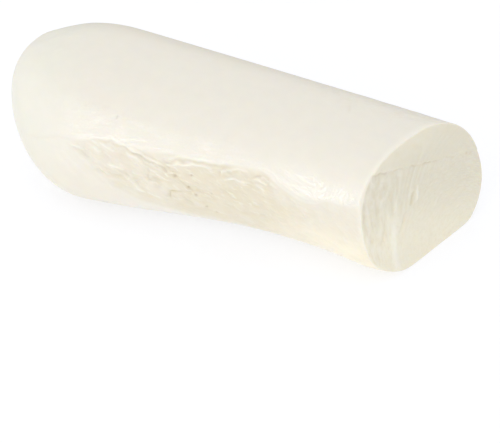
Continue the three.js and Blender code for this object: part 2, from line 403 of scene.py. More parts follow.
class LoafSizes(bpy.types.PropertyGroup):
    """Sizes of the loaf, its relief and its cut."""

    length: FloatProperty(
        name="Length", description="Rounded end to the cut's middle", default=192.05 * MM, unit="LENGTH")
    half_width: FloatProperty(
        name="Half width", description="Half the width at the middle", default=39.1 * MM, unit="LENGTH")
    half_height: FloatProperty(
        name="Half height", description="Half the height at the middle", default=34.9 * MM, unit="LENGTH")
    nose_length: FloatProperty(
        name="Nose length", description="Length of the rounded end", default=44.8 * MM, unit="LENGTH")
    nose_rise: FloatProperty(
        name="Nose rise", description="Height of the tip above the axis", default=11.3 * MM, unit="LENGTH")
    settle: FloatProperty(
        name="Settling", description="How far the soft base has flattened", default=4.3 * MM, unit="LENGTH")
    hollow_depth: FloatProperty(
        name="Hollow", description="Hollow low on the front side", default=6.8 * MM, unit="LENGTH")
    patch_depth: FloatProperty(
        name="Patch depth", description="Drop of the pressed patch", default=0.7 * MM, unit="LENGTH")
    scallop_depth: FloatProperty(
        name="Scallop depth", description="Depth of the small dents", default=0.75 * MM, unit="LENGTH")
    wrinkle_depth: FloatProperty(
        name="Wrinkle depth", description="Depth of the fine wrinkles", default=0.35 * MM, unit="LENGTH")
    cut_skew: FloatProperty(
        name="Cut skew", description="Turn of the cut in plan", default=math.radians(24.8), subtype="ANGLE")
    cut_lean: FloatProperty(
        name="Cut lean", description="Lean of the cut", default=math.radians(-14.4), subtype="ANGLE")
    rim_radius: FloatProperty(
        name="Rim radius", description="Rounding of the rim of the cut", default=0.5 * MM, unit="LENGTH")
    torn_radius: FloatProperty(
        name="Torn rim", description="Added rounding where the rim is torn", default=0.4 * MM, unit="LENGTH")
    step_height: FloatProperty(
        name="Knife step", description="Height of the step on the cut", default=0.45 * MM, unit="LENGTH")
    crack_depth: FloatProperty(
        name="Knife crack", description="Depth of the crack along the step", default=0.2 * MM, unit="LENGTH")
    fibre_height: FloatProperty(
        name="Fibre height", description="Height of the fibres on the cut", default=0.21 * MM, unit="LENGTH")


class CheeseLook(bpy.types.PropertyGroup):
    """Colours and finish of the cheese."""

    skin: FloatVectorProperty(
        name="Skin", description="Smooth skin", default=(0.805, 0.775, 0.70), size=3, subtype="COLOR")
    nose: FloatVectorProperty(
        name="Rounded end", description="Rounded end", default=(0.785, 0.769, 0.69), size=3, subtype="COLOR")
    pressed: FloatVectorProperty(
        name="Patch", description="Pressed patch", default=(0.755, 0.70, 0.57), size=3, subtype="COLOR")
    # The toe's colour is painted bounce light
    toe: FloatVectorProperty(
        name="Toe", description="Corner by the cut", default=(0.885, 0.825, 0.675), size=3, subtype="COLOR")
    # Colour of painted shade: in creases, dents, gouges, the crack and gaps between threads, and on the back
    shade_colour: FloatVectorProperty(
        name="Creases", description="Creases and dents", default=(0.64, 0.55, 0.38), size=3, subtype="COLOR")
    cut: FloatVectorProperty(
        name="Cut", description="Cut face", default=(0.725, 0.69, 0.575), size=3, subtype="COLOR")
    # The foot's colour is painted light from below; it also tints the paler border under the upper rim
    foot: FloatVectorProperty(
        name="Foot", description="Foot of the cut", default=(0.82, 0.778, 0.64), size=3, subtype="COLOR")
    # Colour of painted highlights: on ridges, flakes, threads, the edge by the cut and the patch's dashes
    flake: FloatVectorProperty(
        name="Flakes", description="Flakes of the cut", default=(0.87, 0.85, 0.77), size=3, subtype="COLOR")
    pit: FloatVectorProperty(
        name="Pits", description="Small pits", default=(0.42, 0.31, 0.19), size=3, subtype="COLOR")
    roughness: FloatProperty(
        name="Roughness", description="Roughness of the skin", default=0.35, min=0, max=1)
    moisture: FloatProperty(
        name="Moisture", description="Weight of the moist film", default=1.0, min=0, max=1)
    scatter: FloatProperty(
        name="Scatter", description="How far light spreads inside", default=1.2 * MM, unit="LENGTH")


class StageSettings(bpy.types.PropertyGroup):
    """Camera, lights and floor."""

    azimuth: FloatProperty(
        name="Azimuth", description="Turn of the camera", default=math.radians(20.23), subtype="ANGLE")
    elevation: FloatProperty(
        name="Elevation", description="Camera height angle", default=math.radians(46), subtype="ANGLE")
    distance: FloatProperty(
        name="Distance", description="Camera to the aim point", default=0.815, unit="LENGTH")
    aim: FloatVectorProperty(
        name="Aim", description="Point on the table at the picture's middle",
        default=(11.2 * MM, -14.5 * MM, 0), size=3, subtype="TRANSLATION")
    lens: FloatProperty(name="Lens", description="Focal length in millimetres", default=129.6)
    front_power: FloatProperty(
        name="Front light", description="Power of the softbox in front", default=1.4, unit="POWER")
    left_power: FloatProperty(
        name="Left light", description="Power of the softbox on the left", default=0.5, unit="POWER")
    top_power: FloatProperty(
        name="Top light", description="Power of the softbox above", default=0.3, unit="POWER")
    sheen_power: FloatProperty(
        name="Sheen", description="Power of the wide reflector that only the gloss shows", default=33.5,
        unit="POWER")
    surround: FloatProperty(name="Surround", description="Brightness of the studio", default=0.97)


def signed_power(value, power):
    return np.sign(value) * np.abs(value) ** power


def bump(offset, spread):
    return np.exp(-((offset / spread) ** 2))


def smoothstep(value, low, high):
    share = np.clip((value - low) / (high - low), 0, 1)
    return share * share * (3 - 2 * share)


def wrap_angle(angle):
    return (angle + 180) % 360 - 180


def line_along(places, station):
    """Angle at each station of a smooth line through places of (station in mm, angle)."""
    stations, angles = np.array(places, float).T
    stations = stations * MM
    slopes = np.gradient(angles, stations)
    station = np.clip(station, stations[0], stations[-1])
    part = np.clip(np.searchsorted(stations, station) - 1, 0, len(stations) - 2)
    gap = stations[part + 1] - stations[part]
    t = (station - stations[part]) / gap
    rise = angles[part + 1] - angles[part]
    bend_in = slopes[part] * gap - rise
    bend_out = rise - slopes[part + 1] * gap
    return angles[part] + t * rise + t * (1 - t) * ((1 - t) * bend_in + t * bend_out)


def value_along(places, station):
    """Value at each station on straight lines through places of (station in mm, value)."""
    stations, values = np.array(places, float).T
    return np.interp(station, stations * MM, values)


def near_line(u, v, knots):
    """Distance of each point from a line through knots, the share passed there, and if it is above."""
    lengths = [math.dist(a, b) for a, b in zip(knots, knots[1:])]
    nearest = np.full_like(u, np.inf)
    share = np.zeros_like(u)
    above = np.zeros_like(u, bool)
    passed = 0
    for (u0, v0), (u1, v1), length in zip(knots, knots[1:], lengths):
        t = np.clip(((u - u0) * (u1 - u0) + (v - v0) * (v1 - v0)) / length ** 2, 0, 1)
        distance = np.hypot(u - u0 - t * (u1 - u0), v - v0 - t * (v1 - v0))
        nearer = distance < nearest
        share = np.where(nearer, (passed + t * length) / sum(lengths), share)
        above = np.where(nearer, v > v0 + t * (v1 - v0), above)
        nearest = np.minimum(nearest, distance)
        passed += length
    return nearest, share, above


def soft_lines(u, v, lines, to_plane, above_width=1.0):
    """Height of soft lines, each of places, a height and a half width in mm, that taper towards their ends.

    The side above each line can be narrower, and so steeper.
    """
    total = np.zeros_like(u)
    for places, height, width in lines:
        distance, share, above = near_line(u, v, [to_plane(*place) for place in places])
        taper = np.sqrt(np.maximum(0, 4 * share * (1 - share)))
        spread = width * MM * np.where(above, above_width, 1.0)
        total = np.maximum(total, height * MM * taper * bump(distance, spread))
    return total


def settle_on_table(height):
    """The table flattens the base: heights below it become zero, with a rolled edge."""
    rolled = (np.maximum(height, -BASE_ROLL) + BASE_ROLL) ** 2 / (4 * BASE_ROLL)
    return np.where(height < BASE_ROLL, rolled, height)


def section(sizes, station, angle):
    """Outline of the section at each station, as y and z."""
    along = 2 * station / sizes.length - 1
    near_tip = np.maximum(0, 1 - station / sizes.nose_length)
    swell = (1 - near_tip ** NOSE_FULLNESS) ** (1 / NOSE_FULLNESS)
    flare = along * along - FLARE_MIDDLE
    half_width = sizes.half_width + WIDTH_TAPER * along + WIDTH_FLARE * flare
    half_height = sizes.half_height + HEIGHT_TAPER * along + HEIGHT_FLARE * flare
    change = np.clip((station / sizes.length - CUT_CHANGE_START) / (1 - CUT_CHANGE_START), 0, 1) ** 2
    turn = np.radians(angle)
    upper = ROUNDNESS + (CUT_ROUNDNESS - ROUNDNESS) * change
    power = 2 / np.where(np.sin(turn) > 0, upper, ROUNDNESS)

    centre = half_height - sizes.settle + sizes.nose_rise * near_tip ** 2
    z = centre + half_height * swell * signed_power(np.sin(turn), power)
    bow = BOW * (BOW_MIDDLE - along * along)
    shear = CUT_SHEAR * change * (z - half_height) / half_height
    low = bump(wrap_angle(angle - SIDE_ANGLE), SIDE_SPREAD) * swell
    hollow = sizes.hollow_depth * bump(station - HOLLOW_STATION, HOLLOW_SPREAD) + SIDE_FULLNESS
    toe = TOE_FULLNESS * bump(station - TOE_MIDDLE, TOE_LENGTH)
    y = bow - half_width * swell * signed_power(np.cos(turn), power) + shear + (hollow - toe) * low
    return y, settle_on_table(z)


def cut_reach(sizes, y, z):
    """Distance of the cut plane from the middle of the cut, along the axis."""
    return y * math.tan(sizes.cut_skew) + (z - sizes.half_height) * math.tan(sizes.cut_lean)


def cut_normal(sizes):
    return np.array(Vector((1, -math.tan(sizes.cut_skew), -math.tan(sizes.cut_lean))).normalized())


def smooth_skin(sizes, station, angle):
    """Points of the skin before its relief, with the last section on the cut plane."""
    y, z = section(sizes, station, angle)
    reach = cut_reach(sizes, *section(sizes, np.full_like(station, sizes.length), angle))
    slide = np.clip((station - sizes.nose_length) / (sizes.length - sizes.nose_length), 0, 1)
    return np.stack([station + slide ** SLIDE_POWER * reach, y, z], axis=-1)


def outward(grid):
    """Unit normals of a grid of points whose first axis runs along the loaf."""
    along = np.gradient(grid, axis=0)
    around = np.roll(grid, -1, axis=1) - np.roll(grid, 1, axis=1)
    normal = np.cross(along, around)
    return normal / np.maximum(np.linalg.norm(normal, axis=-1, keepdims=True), LEAST_LENGTH)


def sample(points, measure):
    """A noise measure at each point of a grid."""
    flat = points.reshape(-1, 3).tolist()
    return np.array([measure(point) for point in flat]).reshape(points.shape[:-1])


def ridges(points, octaves=OCTAVES):
    """Thin raised lines: 1 on a line and about 0 far from it."""
    return 1 - 2 * np.abs(ripple(points, octaves))


def cells(points):
    """Shallow cells: 0 in the middle of each and larger towards its border."""
    return sample(points, lambda p: noise.voronoi(p)[0][0])


def ripple(points, octaves=OCTAVES):
    return sample(points, lambda p: noise.fractal(p, FRACTAL_FADE, FRACTAL_STEP, octaves))


def plane_points(u, v, layer=0.0):
    """Points of a plane on which noise is sampled. Another layer gives another pattern."""
    return np.stack([u, v, np.full_like(u, layer)], axis=-1)


def empty_fields(like):
    """Every field that the finish reads, at zero."""
    return {name: np.zeros_like(like) for name in FIELDS}


class SkinFields:
    """Relief and finish of the skin over a grid of stations and angles."""

    def __init__(self, sizes, station, angle, grid):
        self.sizes = sizes
        self.station = station
        self.angle = wrap_angle(angle - TOP_ANGLE) + TOP_ANGLE
        self.from_top = np.abs(self.angle - TOP_ANGLE)
        self.arc = self.arc_length(self.angle)
        self.grid = grid
        self.off_tip = smoothstep(station, *TIP_FADE)
        self.below_upper = self.arc_length(line_along(PATCH_UPPER, station) - self.angle)
        above_lower = self.arc_length(self.angle - line_along(PATCH_LOWER, station))
        self.lower_fade = smoothstep(above_lower, 0, PATCH_EDGE)
        self.inside = smoothstep(self.below_upper, 0, PATCH_EDGE) * self.lower_fade
        starts = smoothstep(station, PATCH_UPPER[0][0] * MM, PATCH_UPPER[1][0] * MM)
        self.strength = starts * (1 - (1 - PATCH_REST) * smoothstep(station, *PATCH_FADE))
        wavering = plane_points(station / WAVER_SIZE, self.arc / WAVER_SIZE)
        self.wavy_station = station + WAVER * ripple(wavering)
        self.wavy_arc = self.arc + WAVER * ripple(wavering + OTHER_PATTERN)
        self.along = self.wavy_station * math.cos(WRINKLE_SLANT) - self.wavy_arc * math.sin(WRINKLE_SLANT)
        self.across = self.wavy_station * math.sin(WRINKLE_SLANT) + self.wavy_arc * math.cos(WRINKLE_SLANT)
        self.creases = self.lines(CREASES)
        self.pits = self.spots()
        self.scallop = np.minimum(self.slanted(cells, SCALLOP_SIZE), SCALLOP_BORDER) ** 2
        self.wrinkles = self.slanted(ridges, WRINKLE_SIZE)
        self.wrinkled = self.wrinkled_share()
        self.film = self.moist_film()

    def arc_length(self, angle):
        """Length round the skin of an angle in degrees."""
        return np.radians(angle) * self.sizes.half_width

    def lines(self, lines, above_width=1.0):
        def to_plane(station, angle):
            return station * MM, self.arc_length(angle)
        return soft_lines(self.wavy_station, self.wavy_arc, lines, to_plane, above_width)

    def spots(self):
        total = np.zeros_like(self.station)
        for station, angle, radius in PITS:
            offset = np.hypot(self.station - station * MM, self.arc - self.arc_length(angle))
            total = np.maximum(total, bump(offset, radius * MM))
        return total

    def slanted(self, pattern, size):
        """A pattern on the skin, stretched along lines that run down towards the cut."""
        return pattern(plane_points(self.along / size[0], self.across / size[1]))

    def patch(self):
        """Height of the pressed patch: a lip above it, and broad dents within it."""
        across = self.station - DENT_SLANT * self.arc
        upward = self.arc + DENT_SLANT * self.station
        dents = np.sin(2 * np.pi * across / DENT_LENGTH) * np.sin(2 * np.pi * upward / DENT_HEIGHT)
        lip = LIP_HEIGHT * bump(self.below_upper + LIP_WIDTH / 2, LIP_WIDTH / 2)
        return self.strength * (lip - self.inside * (self.sizes.patch_depth + DENT_DEPTH * dents))

    def moist_film(self):
        """The moist film: crisp where it folds into the patch, ragged where it thins out upwards."""
        below_top = self.arc_length(line_along(FILM_TOP, self.station) - self.angle)
        ragged = below_top + FILM_RAG * self.slanted(ripple, FILM_RAG_SIZE)
        above_patch = smoothstep(-self.below_upper, -FILM_EDGE, FILM_EDGE)
        spread = smoothstep(ragged, -FILM_FADE, FILM_FADE) * above_patch
        return value_along(FILM_WETNESS, self.station) * spread * smoothstep(self.station, *FILM_START)

    def shoulder(self):
        """The finely wrinkled zone high on the back, near the cut."""
        return bump(self.angle - SHOULDER_ANGLE, SHOULDER_SPREAD) * smoothstep(self.station, *SHOULDER_START)

    def wrinkled_share(self):
        """How wrinkled the skin is: most in blotches of the patch, a little on the back and its shoulder."""
        blotch = smoothstep(ripple(self.grid / BLOTCH_SIZE), *BLOTCH_RANGE)
        patch = self.inside * self.strength * (BLOTCH_REST + (1 - BLOTCH_REST) * blotch)
        low_back = BACK_STRENGTH * bump(wrap_angle(self.angle - BACK_ANGLE), BACK_SPREAD)
        blotched_back = low_back * blotch * smoothstep(self.station, *BACK_START)
        back = np.maximum(blotched_back, SHOULDER_STRENGTH * self.shoulder())
        return np.maximum(patch, back)

    def fold(self):
        """Drop of the skin behind the fold on the rounded end."""
        behind = self.arc_length(self.angle - line_along(FOLD_LINE, self.station))
        drop = MM * value_along(FOLD_DROP, self.station)
        return drop * np.clip(behind / FOLD_WIDTH, 0, 1) * (1 - smoothstep(self.angle, *FOLD_END))

    def relief(self):
        """Height of the skin over its smooth form."""
        scallops = self.sizes.scallop_depth * (self.scallop - SCALLOP_BORDER ** 2 / 2)
        wrinkles = self.sizes.wrinkle_depth * (self.wrinkles - RIDGE_MIDDLE)
        soft = RIPPLE_DEPTH * ripple(self.grid / RIPPLE_SIZE)
        fine = self.wrinkled * scallops + np.maximum(self.wrinkled, FILM_WRINKLES * self.film) * wrinkles
        marks = self.lines(RIDGES, STEEPNESS_ABOVE) - self.creases - PIT_DEPTH * self.pits
        clear_of_base = smoothstep(self.grid[..., 2], *BASE_CLEAR)
        return clear_of_base * (self.patch() + marks + fine + soft - self.fold())

    def pressed_tint(self):
        """Share of the pressed colour: in the patch, and a little under the rounded end."""
        tinted = smoothstep(self.below_upper, 0, PRESSED_EDGE) * self.lower_fade
        deepening = 1 - PRESSED_PALENESS * (1 - smoothstep(self.below_upper, 0, PRESSED_DEPTH))
        stains = 1 + STAIN * ripple(self.grid / STAIN_SIZE)
        patch = tinted * deepening * stains * value_along(PRESSED_TINT, self.station)
        under = UNDER_TINT * self.off_tip * smoothstep(self.from_top, *UNDER_FROM_TOP)
        return np.maximum(patch, under * (1 - smoothstep(self.station, *UNDER_END)))

    def painted_toe_light(self):
        """Share of painted bounce light: low on the front by the cut, but not on the base."""
        low = smoothstep(self.angle, *TOE_ANGLE) * smoothstep(self.angle, *TOE_FADE)
        return low * smoothstep(self.station, *TOE_STATION)

    def painted_skin_shade(self):
        """Share of painted shade: in creases and dents, faintly on the back, and in the troughs of its
        shoulder.
        """
        dents = self.wrinkled * smoothstep(self.scallop, SCALLOP_BORDER ** 2 / 2, 0)
        # Painted shade on the back, where the light falls away
        from_back = np.abs(wrap_angle(self.angle - BACK_SHADE_ANGLE))
        along_back = self.off_tip * (1 - smoothstep(self.station, *BACK_SHADE_END))
        back = BACK_SHADE * along_back * (1 - smoothstep(from_back, *BACK_SHADE_SPREAD))
        trough_shade = SHOULDER_SHADE * self.shoulder() * smoothstep(self.wrinkles, 1, 0)
        return self.creases / CREASE_SHADE_DEPTH + DENT_SHADE * dents + back + trough_shade

    def ridge_and_lip_highlight(self):
        """Share of painted highlight: on ridges, and on the lip along the upper edge of the cut."""
        edge = smoothstep(self.station, self.sizes.length - EDGE_WIDTH, self.sizes.length)
        lip = EDGE_HIGHLIGHT * edge * (1 - smoothstep(self.from_top, *EDGE_FROM_TOP))
        return np.maximum(np.clip(self.lines(RIDGES) / RIDGE_HIGHLIGHT_HEIGHT, 0, 1), lip)

    def finish(self):
        """Fields that the material reads, by name."""
        flecked = FLECK_REST + (1 - FLECK_REST) * smoothstep(self.station, *FLECK_STATION)
        return {
            **empty_fields(self.station),
            "pressed": np.clip(self.pressed_tint(), 0, 1),
            "nose": 1 - smoothstep(self.station, *NOSE_TINT),
            "toe": self.painted_toe_light(),
            "cavity": np.clip(self.painted_skin_shade(), 0, 1),
            "pit": PIT_TINT * self.pits,
            "film": self.film,
            "fleck": self.wrinkled * smoothstep(self.angle, *FLECK_ANGLE) * flecked,
            "flake": self.ridge_and_lip_highlight(),
        }

    def slant(self):
        """Coordinates in mm along and across the wrinkles of the patch."""
        return plane_points(self.along / MM, self.across / MM)

    def grain(self):
        """Coordinates in mm across and along the streaks of the film.

        They follow the upper edge of the patch, and turn round the section near the cut.
        """
        turned = smoothstep(self.station, *STREAK_TURN)
        from_turn = self.wavy_station - STREAK_TURN[1]
        slanting = from_turn - STREAK_SLANT * self.wavy_arc
        across = (1 - turned) * self.below_upper + turned * slanting
        along = (1 - turned) * from_turn + turned * self.wavy_arc
        return plane_points(across / MM, along / MM)


class FaceFields:
    """Relief and finish of the cut face over a grid of y and z, with the distance from its rim."""

    def __init__(self, sizes, y, z, inset):
        self.sizes = sizes
        self.y = y
        self.z = z
        self.inset = inset
        sideways = FIBRE_CENTRE[0] - y
        upward = z - FIBRE_CENTRE[1]
        self.radius = np.hypot(sideways, upward)
        self.turn = np.arctan2(upward, sideways)
        self.fibre = self.radius - FIBRE_FAN * self.turn * np.maximum(0, self.radius - FIBRE_FAN_START)
        self.along = self.radius * self.turn
        waver = STEP_WAVER * ripple(plane_points(y / STEP_WAVER_SIZE, z / STEP_WAVER_SIZE), FINE_OCTAVES)
        self.above = z - (STEP_AT_AXIS + STEP_SLOPE * y) + waver
        self.proud = smoothstep(self.above, -STEP_WIDTH / 2, STEP_WIDTH / 2)
        self.clear_of_rim = smoothstep(inset, 0, RIM_CLEARANCE)
        self.gouges = self.lines(GOUGES)
        self.flakes = self.lines(FLAKES)
        gaps = ripple(plane_points(y / CRACK_SIZE, z / CRACK_SIZE, CRACK_LAYER))
        broken = smoothstep(gaps, *CRACK_RANGE)
        self.crack = bump(self.above + STEP_WIDTH / 2, CRACK_WIDTH) * broken
        strand_places = plane_points(self.fibre / STRAND_SIZE[0], self.along / STRAND_SIZE[1])
        self.strands = ripple(strand_places, FINE_OCTAVES)

    def lines(self, lines):
        return soft_lines(self.y, self.z, lines, lambda y, z: (y * MM, z * MM))

    def level(self):
        """Height of the cut over its plane: the knife left the upper part a little proud."""
        return self.sizes.step_height * self.proud

    def threaded(self):
        """How much the fibres show: most on the near side, and less above the step."""
        return smoothstep(self.radius, *FIBRE_REACH) * (1 - PROUD_SMOOTHNESS * self.proud)

    def border(self):
        """A paler border under the upper rim, on the near side."""
        near = 1 - smoothstep(self.y, *BORDER_SIDE)
        return BORDER_PALENESS * self.proud * near * (1 - smoothstep(self.inset, 0, BORDER_WIDTH))

    def relief(self):
        """Height of the cut over its level: torn fibres, soft curd, flakes, gouges and the crack."""
        torn = ridges(plane_points(self.fibre / TEAR_SIZE[0], self.along / TEAR_SIZE[1], TEAR_LAYER))
        strands = self.strands + TEAR_SHARE * (torn - RIDGE_MIDDLE)
        fibres = self.sizes.fibre_height * self.threaded() * strands
        curd = CURD_DEPTH * ripple(plane_points(self.y / CURD_SIZE, self.z / CURD_SIZE))
        marks = self.flakes - self.gouges - self.sizes.crack_depth * self.crack
        return self.clear_of_rim * (fibres + curd + marks)

    def finish(self, cut):
        """Fields that the material reads, by name. The share of cut grows over the rounded rim."""
        # Painted shade in the low strands, the gouges and the knife crack
        strand_shade = STRAND_SHADE * np.clip(-self.strands, 0, 1) * (1 - PROUD_SMOOTHNESS * self.proud)
        cavity = self.gouges / GOUGE_SHADE_DEPTH + CRACK_SHADE * self.crack + strand_shade
        # Painted light from below at the foot of the cut
        foot = 1 - smoothstep(self.z + FOOT_SLANT * self.y, *FOOT_HEIGHT)
        return {
            **empty_fields(self.y),
            "cavity": np.clip(cavity * self.clear_of_rim, 0, 1),
            # Share of painted light and shade on the threads: most on the near side, and a little elsewhere
            # below the step
            "thread": np.maximum(self.threaded(), FIBRE_FAR * (1 - self.proud)),
            "cut": cut,
            "foot": np.maximum(foot, self.border()),
            "flake": np.clip(self.flakes / FLAKE_HIGHLIGHT_HEIGHT, 0, 1) * self.clear_of_rim,
        }

    def slant(self):
        """The cut has no wrinkles to run along."""
        return np.zeros((*self.y.shape, 3))

    def grain(self):
        """Coordinates in mm across and along the fibres."""
        broken = 1 + FIBRE_BREAK * (1 - smoothstep(self.radius, *FIBRE_REACH))
        return plane_points(self.fibre / MM, broken * self.along / MM)


def ring_angles():
    """Angles of the segments, closest together on the front."""
    even = FIRST_ANGLE + 360 * np.arange(SEGMENTS) / SEGMENTS
    return even - math.degrees(CROWDING) * np.sin(np.radians(even)) + CROWDED_ANGLE


def cut_outline(sizes, angles):
    """The rim of the cut before it is rounded, and its rounding at each angle."""
    y, z = section(sizes, np.full_like(angles, sizes.length), angles)
    rim = FaceFields(sizes, y, z, np.zeros_like(y))
    torn = bump(wrap_angle(angles - TORN_ANGLE), TORN_SPREAD) * (1 - rim.proud)
    return rim, sizes.rim_radius + sizes.torn_radius * torn


def skin_stations(sizes, rim, rounding):
    """Stations of the rings: close together at the rounded tip, and ending where the rim starts to round."""
    turns = np.linspace(0, np.pi / 2, NOSE_RINGS + 1)[1:]
    nose = np.repeat(sizes.nose_length * (1 - np.cos(turns))[:, None], SEGMENTS, axis=1)
    body_length = sizes.length - sizes.nose_length
    steepness = 1 + SLIDE_POWER * cut_reach(sizes, rim.y, rim.z) / body_length
    behind_plane = (rounding - rim.level()) / cut_normal(sizes)[0]
    shares = np.linspace(0, 1, BODY_RINGS + 1)[1:, None]
    return np.concatenate([nose, sizes.nose_length + shares * (body_length - behind_plane / steepness)])


def face_fields(sizes, rim, rounding):
    """Fields of the cut from its rounded rim inwards, with the drop of the rim and the share of cut."""
    to_middle = np.hypot(rim.y, rim.z - sizes.half_height)
    turns = np.linspace(0, np.pi / 2, RIM_RINGS + 1)[1:, None]
    shares = np.arange(1, FACE_RINGS)[:, None] / FACE_RINGS
    inset = np.concatenate([rounding * (1 - np.cos(turns)), rounding + shares * (to_middle - rounding)])
    drop = np.concatenate([rounding * (1 - np.sin(turns)), 0 * shares * rounding])
    kept = 1 - inset / to_middle
    z = sizes.half_height + (rim.z - sizes.half_height) * kept
    return FaceFields(sizes, rim.y * kept, z, inset), drop, np.clip(inset / rounding, 0, 1)


def face_points(sizes, face, drop):
    depth = face.level() + face.relief() - drop
    points = np.stack([sizes.length + cut_reach(sizes, face.y, face.z), face.y, face.z], axis=-1)
    points = points + depth[..., None] * cut_normal(sizes)
    points[..., 2] = np.maximum(points[..., 2], 0)
    return points


def ring_faces(rings):
    """Faces of a closed surface: a tip, rings of points and a middle point."""
    first = 1 + np.arange(SEGMENTS)
    following = np.roll(first, -1)
    tip = [(0, b, a) for a, b in zip(following.tolist(), first.tolist())]
    quads = []
    for ring in range(rings - 1):
        near = first + ring * SEGMENTS
        near_next = following + ring * SEGMENTS
        far = near + SEGMENTS
        far_next = near_next + SEGMENTS
        quads.extend(np.stack([near, far, far_next, near_next], axis=1).tolist())
    last = 1 + rings * SEGMENTS
    offset = (rings - 1) * SEGMENTS
    middle = [(a, last, b) for a, b in zip((first + offset).tolist(), (following + offset).tolist())]
    return tip + quads + middle


def write_fields(mesh, skin, face, inner, cut):
    """Store on the mesh what its finish reads. The tip takes the values of the skin's first point."""
    skin_finish, face_finish, inner_finish = skin.finish(), face.finish(cut), inner.finish(np.ones(1))
    for name in FIELDS:
        on_skin, on_face, on_middle = skin_finish[name], face_finish[name], inner_finish[name]
        values = np.concatenate([on_skin[0, :1], on_skin.ravel(), on_face.ravel(), on_middle])
        mesh.attributes.new(name, "FLOAT", "POINT").data.foreach_set("value", values)
    parts = (skin, face, inner)
    directions = {"grain": [part.grain() for part in parts], "slant": [part.slant() for part in parts]}
    for name, (on_skin, on_face, on_middle) in directions.items():
        values = np.concatenate([on_skin[0, 0], on_skin.ravel(), on_face.ravel(), on_middle.ravel()])
        mesh.attributes.new(name, "FLOAT_VECTOR", "POINT").data.foreach_set("vector", values)


def loaf_mesh(sizes):
    """The loaf's fine mesh, with the fields that its finish reads."""
    angles = ring_angles()
    rim, rounding = cut_outline(sizes, angles)
    station = skin_stations(sizes, rim, rounding)
    angle = np.broadcast_to(angles, station.shape).copy()
    grid = smooth_skin(sizes, station, angle)
    skin = SkinFields(sizes, station, angle, grid)
    skin_points = grid + skin.relief()[..., None] * outward(grid)
    skin_points[..., 2] = np.maximum(skin_points[..., 2], 0)

    face, drop, cut = face_fields(sizes, rim, rounding)
    face_rings = face_points(sizes, face, drop)
    inner = FaceFields(sizes, np.zeros(1), np.full(1, sizes.half_height), np.full(1, sizes.half_height))
    middle = face_points(sizes, inner, np.zeros(1))
    tip = smooth_skin(sizes, np.zeros(1), np.zeros(1))

    points = np.concatenate([tip, skin_points.reshape(-1, 3), face_rings.reshape(-1, 3), middle])
    low, high = points.min(axis=0), points.max(axis=0)
    cad_low, cad_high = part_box(NODE)
    points[:, :2] += (np.array(cad_low + cad_high) / 2 - (low + high) / 2)[:2]

    mesh = bpy.data.meshes.new("loaf_skin")
    mesh.from_pydata(points.tolist(), [], ring_faces(len(skin_points) + len(face_rings)))
    write_fields(mesh, skin, face, inner, cut)
    mesh.shade_smooth()
    mesh.validate()
    return mesh


def connect(tree, value, socket):
    """Feed a socket from another socket, or set it."""
    if isinstance(value, bpy.types.NodeSocket):
        tree.links.new(value, socket)
    else:
        socket.default_value = value


def field(tree, name, output="Fac"):
    node = tree.nodes.new("ShaderNodeAttribute")
    node.attribute_name = name
    return node.outputs[output]


def mix_colours(tree, factor, first, second):
    """Mix two colours. The node's sockets for colours are inputs 6 and 7 and output 2."""
    node = tree.nodes.new("ShaderNodeMix")
    node.data_type = "RGBA"
    connect(tree, factor, node.inputs["Factor"])
    for value, socket in ((first, node.inputs[6]), (second, node.inputs[7])):
        connect(tree, value if isinstance(value, bpy.types.NodeSocket) else (*value, 1), socket)
    return node.outputs[2]


def compute(tree, operation, first, second):
    node = tree.nodes.new("ShaderNodeMath")
    node.operation = operation
    connect(tree, first, node.inputs[0])
    connect(tree, second, node.inputs[1])
    return node.outputs[0]


def between(tree, value, low, high, to_low, to_high):
    """Carry a value from one range to another, held at the ends."""
    node = tree.nodes.new("ShaderNodeMapRange")
    connect(tree, value, node.inputs["Value"])
    for name, number in (("From Min", low), ("From Max", high), ("To Min", to_low), ("To Max", to_high)):
        node.inputs[name].default_value = number
    return node.outputs["Result"]


def pattern(tree, place, scale, detail=PLAIN_DETAIL):
    """Noise from about 0.3 to 0.7 with a scale for each axis."""
    stretch = tree.nodes.new("ShaderNodeVectorMath")
    stretch.operation = "MULTIPLY"
    connect(tree, place, stretch.inputs[0])
    stretch.inputs[1].default_value = scale
    node = tree.nodes.new("ShaderNodeTexNoise")
    tree.links.new(stretch.outputs[0], node.inputs["Vector"])
    node.inputs["Scale"].default_value = 1.0
    node.inputs["Detail"].default_value = detail
    return node.outputs["Fac"]


def within(tree, value, name):
    """A value times a field of the mesh."""
    return compute(tree, "MULTIPLY", value, field(tree, name))


def waves(tree, value, height, reach=NOISE_RANGE):
    """Relief from noise, as deep as it is high."""
    return between(tree, value, *reach, -height, height)


def patch_dashes(tree):
    """Short dashes along the wrinkles of the patch."""
    return pattern(tree, field(tree, "slant", "Vector"), DASH_SCALE)


def cut_threads(tree):
    """Fine threads of curd on the cut."""
    return pattern(tree, field(tree, "grain", "Vector"), THREAD_SCALE, THREAD_DETAIL)


def film_streaks(tree):
    """Fine streaks in the moist film."""
    return pattern(tree, field(tree, "grain", "Vector"), STREAK_SCALE)


def cut_colour(tree, look):
    """The cut, with painted light at its foot, painted highlights on its threads and painted shade in the
    gaps.
    """
    colour = mix_colours(tree, field(tree, "foot"), look.cut, look.foot)
    threads = between(tree, cut_threads(tree), *THREAD_HIGHLIGHT_RANGE, 0.0, THREAD_HIGHLIGHT)
    colour = mix_colours(tree, within(tree, threads, "thread"), colour, look.flake)
    gaps = between(tree, cut_threads(tree), *GAP_SHADE_RANGE, GAP_SHADE, 0.0)
    return mix_colours(tree, within(tree, gaps, "thread"), colour, look.shade_colour)


